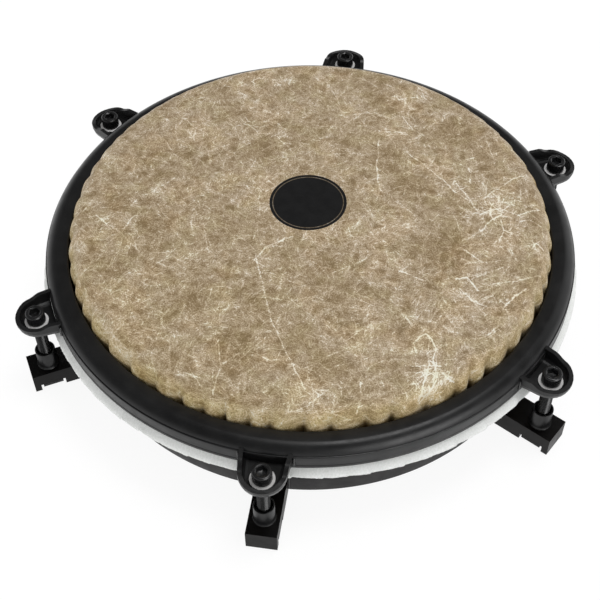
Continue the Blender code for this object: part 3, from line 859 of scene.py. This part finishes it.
def sleeve_shape():
    """Threaded sleeve with a counterbored mouth, standing in its weld."""
    top, low = SLEEVE_HIGH.z, SLEEVE_LOW.z
    foot = (SLEEVE_HIGH.x - SLEEVE_LOW.x) / 2
    edge = SLEEVE_EDGE
    rows = arc((SLEEVE_MOUTH + edge, top - edge), edge, 180, 90, 3)
    rows += arc((SLEEVE_RADIUS - edge, top - edge), edge, 90, 0, 3)
    rows += [
        (SLEEVE_RADIUS, low + SLEEVE_FOOT_HEIGHT + 0.8 * MM),
        (SLEEVE_RADIUS + 0.15 * (foot - SLEEVE_RADIUS), low + SLEEVE_FOOT_HEIGHT),
        (foot - 0.1 * MM, low + 0.2 * MM),
        (foot - 0.2 * MM, low),
        (HOLE_RADIUS, low),
        (HOLE_RADIUS, top - SLEEVE_MOUTH_DEPTH - 0.2 * MM),
        (HOLE_RADIUS + 0.2 * MM, top - SLEEVE_MOUTH_DEPTH),
        (SLEEVE_MOUTH, top - SLEEVE_MOUTH_DEPTH),
    ]
    return stack(rows, 64, True)


def weld_bead(path, radius, chance):
    """A lumpy bead along a path, as points and faces: one swelling for each stitch of the weld."""
    sides, points, faces = 10, [], []
    stations = []
    for start, end in zip(path, path[1:]):
        start, end = Vector(start), Vector(end)
        count = max(2, round((end - start).length / (WELD_STEP / 4)))
        stations += [start.lerp(end, index / count) for index in range(count)]
    stations.append(Vector(path[-1]))
    phase, wobble = chance.uniform(0, 6), chance.uniform(0.75, 1.15)
    for index, station in enumerate(stations):
        before, after = stations[max(0, index - 1)], stations[min(len(stations) - 1, index + 1)]
        along = (after - before).normalized()
        side = along.orthogonal().normalized()
        other = along.cross(side)
        ends = min(index, len(stations) - 1 - index)
        size = radius * wobble * min(1.0, 0.35 + 0.3 * ends) * (0.86 + 0.14 * math.sin(phase + index * 1.57))
        size *= 1 + 0.12 * noise.noise(station * 900)
        for turn in range(sides):
            angle = 2 * math.pi * turn / sides
            points.append(station + size * (math.cos(angle) * side + math.sin(angle) * other))
        if index:
            low = (index - 1) * sides
            for turn in range(sides):
                nxt = (turn + 1) % sides
                faces.append((low + turn, low + nxt, low + sides + nxt, low + sides + turn))
    faces.append(tuple(range(sides))[::-1])
    faces.append(tuple(range(len(points) - sides, len(points))))
    return points, faces


def joined(shapes):
    """Several shapes of (points, faces) as one."""
    points, faces = [], []
    for more_points, more_faces in shapes:
        faces += [tuple(corner + len(points) for corner in face) for face in more_faces]
        points += more_points
    return points, faces


def make_lugs(oxide, nylon, black, bead):
    """The turned pieces and the welds of each lug."""
    chance = random.Random(SEED + 1)
    circle = -(BOLT_HIGH.y + BOLT_LOW.y) / 2
    for number in range(1, LUG_COUNT + 1):
        place = lug_place(number)
        body = f"bolt_{number}"
        screw = add_piece(f"screw_{number}", screw_shape(), body, oxide, place, 30)
        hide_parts(f"tension_bolt_{number}")
        washer = add_piece(f"washer_{number}", washer_shape(), "rim", nylon, place)
        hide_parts(f"nylon_washer_{number}")
        sleeve = add_piece(f"sleeve_{number}", sleeve_shape(), "base", black, place)
        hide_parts(f"lug_sleeve_{number}")

        half = (BAR_HIGH.x - BAR_LOW.x) / 2
        wall_x = math.sqrt(RING_HIGH.x ** 2 - half ** 2) - circle
        corners = []
        for side in (-1, 1):
            y = side * (half + 0.3 * MM)
            corners.append(weld_bead([(wall_x, y, 1.2 * MM), (wall_x, y, BAR_HIGH.z - 1 * MM)], WELD_RADIUS, chance))
        welds = add_piece(f"bar_weld_{number}", joined(corners), "base", bead, place, 60)
        welds.data.update()

        ear_beads = []
        ear_half = 16.1 * MM
        ear_x = math.sqrt(RIM_OUTER ** 2 - ear_half ** 2) - circle
        for side in (-1, 1):
            y = side * ear_half
            ear_beads.append(weld_bead(
                [(ear_x + 0.2 * MM, y, 55.5 * MM), (ear_x + 0.2 * MM, y, 63.4 * MM)], WELD_RADIUS, chance,
            ))
        add_piece(f"ear_weld_{number}", joined(ear_beads), "rim", bead, place, 60)


def soften(node, width, segments, angle):
    """Round a CAD node's edges."""
    bevel = node.modifiers.new("edges", "BEVEL")
    bevel.width = width
    bevel.segments = segments
    bevel.limit_method = "ANGLE"
    bevel.angle_limit = math.radians(angle)
    bevel.harden_normals = False


def add_floor():
    """White floor: the camera and reflections see it as lit white, with the object's shadow kept."""
    mesh = bpy.data.meshes.new("floor")
    build = bmesh.new()
    bmesh.ops.create_grid(build, x_segments=1, y_segments=1, size=6.0)
    build.to_mesh(mesh)
    build.free()
    floor = bpy.data.objects.new("floor", mesh)
    bpy.context.scene.collection.objects.link(floor)
    floor.location.z = -0.5 * MM
    looks = Looks("floor", 0.9, 0.1)
    looks.shader.inputs["Base Color"].default_value = (0.9, 0.9, 0.9, 1.0)
    path = looks.nodes.new("ShaderNodeLightPath")
    seen = looks.math("MAXIMUM", path.outputs["Is Camera Ray"], path.outputs["Is Glossy Ray"])
    seen = looks.math("MAXIMUM", seen, path.outputs["Is Transmission Ray"])
    glow = looks.nodes.new("ShaderNodeEmission")
    glow.inputs["Strength"].default_value = 1.06
    blend = looks.nodes.new("ShaderNodeMixShader")
    looks.links.new(looks.math("MULTIPLY", seen, 0.85), blend.inputs["Fac"])
    looks.links.new(looks.shader.outputs["BSDF"], blend.inputs[1])
    looks.links.new(glow.outputs["Emission"], blend.inputs[2])
    looks.links.new(blend.outputs["Shader"], looks.nodes["Material Output"].inputs["Surface"])
    mesh.materials.append(looks.material)


def add_world():
    """White for the camera; for gloss and for diffuse light, bright at the horizon and dimmer above."""
    world = bpy.data.worlds.new("world")
    world.use_nodes = True
    nodes, links = world.node_tree.nodes, world.node_tree.links
    path = nodes.new("ShaderNodeLightPath")
    split = nodes.new("ShaderNodeSeparateXYZ")
    way = nodes.new("ShaderNodeTexCoord").outputs["Generated"]
    links.new(way, split.inputs["Vector"])
    horizon = nodes.new("ShaderNodeMapRange")
    links.new(split.outputs["Z"], horizon.inputs["Value"])
    horizon.inputs["From Min"].default_value = 0.15
    horizon.inputs["From Max"].default_value = 0.45
    horizon.inputs["To Min"].default_value = 0.85
    horizon.inputs["To Max"].default_value = 0.10
    shine = horizon.outputs["Result"]
    for direction, reach, strength in SOFT_BOXES:
        toward = nodes.new("ShaderNodeVectorMath")
        toward.operation = "DOT_PRODUCT"
        links.new(way, toward.inputs[0])
        toward.inputs[1].default_value = direction
        spot = nodes.new("ShaderNodeMapRange")
        spot.interpolation_type = "SMOOTHSTEP"
        spot.clamp = False
        links.new(toward.outputs["Value"], spot.inputs["Value"])
        spot.inputs["From Min"].default_value = reach
        spot.inputs["To Max"].default_value = strength
        both = nodes.new("ShaderNodeMath")
        links.new(shine, both.inputs[0])
        links.new(spot.outputs["Result"], both.inputs[1])
        shine = both.outputs["Value"]
    soft = nodes.new("ShaderNodeMapRange")
    links.new(split.outputs["Z"], soft.inputs["Value"])
    soft.inputs["To Min"].default_value = 1.20
    soft.inputs["To Max"].default_value = 0.41
    either = nodes.new("ShaderNodeMath")
    either.operation = "MAXIMUM"
    links.new(path.outputs["Is Glossy Ray"], either.inputs[0])
    links.new(path.outputs["Is Transmission Ray"], either.inputs[1])
    gloss = nodes.new("ShaderNodeMix")
    links.new(either.outputs["Value"], gloss.inputs["Factor"])
    links.new(soft.outputs["Result"], gloss.inputs["A"])
    links.new(shine, gloss.inputs["B"])
    seen = nodes.new("ShaderNodeMix")
    links.new(path.outputs["Is Camera Ray"], seen.inputs["Factor"])
    links.new(gloss.outputs["Result"], seen.inputs["A"])
    seen.inputs["B"].default_value = 1.0
    links.new(seen.outputs["Result"], nodes["Background"].inputs["Strength"])
    nodes["Background"].inputs["Color"].default_value = (1.0, 1.0, 1.0, 1.0)
    bpy.context.scene.world = world


def add_light(name, place, aim, power, size):
    light = bpy.data.lights.new(name, "AREA")
    light.energy = power
    light.size = size
    lamp = bpy.data.objects.new(name, light)
    bpy.context.scene.collection.objects.link(lamp)
    lamp.location = place
    direction = Vector(aim) - Vector(place)
    lamp.rotation_euler = direction.to_track_quat("-Z", "Y").to_euler()


def add_camera():
    cos_el = math.cos(CAMERA_ELEVATION)
    back = Vector((
        math.sin(CAMERA_AZIMUTH) * cos_el,
        -math.cos(CAMERA_AZIMUTH) * cos_el,
        math.sin(CAMERA_ELEVATION),
    ))
    right = Vector((0, 0, 1)).cross(back).normalized()
    up = back.cross(right)
    cos_roll, sin_roll = math.cos(CAMERA_ROLL), math.sin(CAMERA_ROLL)
    across = cos_roll * right + sin_roll * up
    upward = -sin_roll * right + cos_roll * up
    place = Vector((0, 0, BOLT_HIGH.z)) + CAMERA_DISTANCE * back
    place += CAMERA_RIGHT * across + CAMERA_UP * upward
    camera = bpy.data.cameras.new("camera")
    camera.sensor_width = 36.0
    camera.lens = CAMERA_LENS
    holder = bpy.data.objects.new("camera", camera)
    bpy.context.scene.collection.objects.link(holder)
    holder.matrix_world = Matrix((
        (across.x, upward.x, back.x, place.x),
        (across.y, upward.y, back.y, place.y),
        (across.z, upward.z, back.z, place.z),
        (0, 0, 0, 1),
    ))
    bpy.context.scene.camera = holder


BLACK = coat("powder_black", (0.0075, 0.0075, 0.0078), (0.011, 0.011, 0.0113), 0.34, 0.36, 900.0, 0.05 * MM)
GREY = coat("powder_grey", (0.010, 0.0092, 0.0095), (0.0145, 0.0131, 0.0136), 0.45, 0.20, 900.0, 0.05 * MM)
# Painted shade: a darker copy of the black coat for the foot bars, which are the same black steel as the rim.
SHADED_BAR_BLACK = coat("bar_black_painted_shade", (0.0028, 0.0024, 0.0022), (0.005, 0.0043, 0.004), 0.40, 0.14, 900.0, 0.05 * MM)
OXIDE = coat("black_oxide", (0.009, 0.009, 0.0095), (0.014, 0.014, 0.0145), 0.27, 0.5, 1600.0, 0.02 * MM)
BEAD = coat("weld_black", (0.010, 0.010, 0.0105), (0.018, 0.018, 0.018), 0.22, 0.6, 1500.0, 0.08 * MM)
NYLON = plain_stuff("white_nylon", (0.74, 0.73, 0.72), (0.84, 0.83, 0.82), 0.4, 1500.0, 0.03 * MM)
RUBBER = plain_stuff("black_rubber", (0.012, 0.012, 0.012), (0.022, 0.022, 0.022), 0.78, 1100.0, 0.15 * MM)
METAL = plain_stuff("bare_aluminium", (0.70, 0.70, 0.71), (0.80, 0.80, 0.81), 0.34, 2200.0, 0.02 * MM, 1.0)
BY_SLOT = {
    "black_steel": BLACK,
    "grey_steel": GREY,
    "nylon": NYLON,
    "rubber": RUBBER,
    "aluminium": METAL,
}

for entry in frame["record"]["subparts"]:
    made = BY_SLOT.get(entry["material_slot"])
    if made is not None:
        mesh = frame["nodes"][entry["node"]].data
        mesh.materials.clear()
        mesh.materials.append(made)

make_ring(GREY)
make_head(film_material())
make_rim(BLACK)
make_lugs(OXIDE, NYLON, BLACK, BEAD)
for number in range(1, LUG_COUNT + 1):
    soften(frame["nodes"][f"ear_{number}"], 0.45 * MM, 3, 32)
    bar = frame["nodes"][f"foot_bar_{number}"]
    # The foot bars take the darker copy of the black coat, as painted shade.
    bar.data.materials.clear()
    bar.data.materials.append(SHADED_BAR_BLACK)
    soften(bar, 0.4 * MM, 2, 40)

add_floor()
add_world()
add_light("overhead", (0.27, 0.08, 1.5), (0.0, 0.0, 0.06), 6.5, 0.5)
add_camera()
bpy.context.scene.view_settings.view_transform = "Standard"
